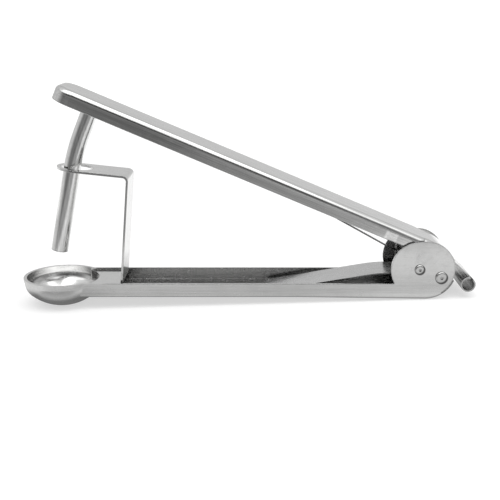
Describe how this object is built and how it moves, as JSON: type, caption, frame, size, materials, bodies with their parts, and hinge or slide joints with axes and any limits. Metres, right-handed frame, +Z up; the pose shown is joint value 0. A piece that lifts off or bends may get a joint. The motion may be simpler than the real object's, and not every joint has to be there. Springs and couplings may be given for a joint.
{
  "type": "cherry pitter",
  "caption": "Hand-squeezed stainless steel cherry pitter with a fruit cup, a curved hollow punch in a guide eye, a leaf spring and a pull-out lock at the tail.",
  "frame": {"origin": "on the ground under the middle of the open tool's length and width", "axes": "+X from the fruit cup to the pivot, +Z up, +Y to the left of someone looking along +X; the tool is symmetric about the plane y = 0 and the channel of the base arm lies level"},
  "size_m": [0.1754, 0.0304, 0.0855],
  "materials": {
    "arm_steel": "brushed along the arms",
    "bracket_steel": "fine brushed",
    "spring_steel": "satin, cold rolled",
    "punch_steel": "drawn tube, half polished",
    "rivet_steel": "turned",
    "latch_steel": "fine brushed"
  },
  "bodies": {
    "base": {"base_arm": "arm_steel", "guide_bracket": "bracket_steel", "leaf_spring": "spring_steel", "pivot_rivet": "rivet_steel", "pivot_sleeve": "rivet_steel", "thrust_washers": "rivet_steel", "latch_rivet": "rivet_steel", "latch_sleeve": "rivet_steel", "latch_spacers": "rivet_steel"},
    "lever": {"lever_arm": "arm_steel", "punch_tube": "punch_steel"},
    "latch": {"latch_slide": "latch_steel"}
  },
  "joints": [
    {"name": "lever_pivot", "type": "hinge", "parent": "base", "child": "lever", "pos_m": [0.06603, 0, 0.0164], "axis": [0, -1, 0], "range_deg": [0, 10], "stiffness_Nm_per_rad": 3, "springref_deg": -11.46, "deforming": ["leaf_spring"]},
    {"name": "latch_slide", "type": "slide", "parent": "base", "child": "latch", "axis": [1, 0, 0], "range_m": [0, 0.0026]}
  ]
}
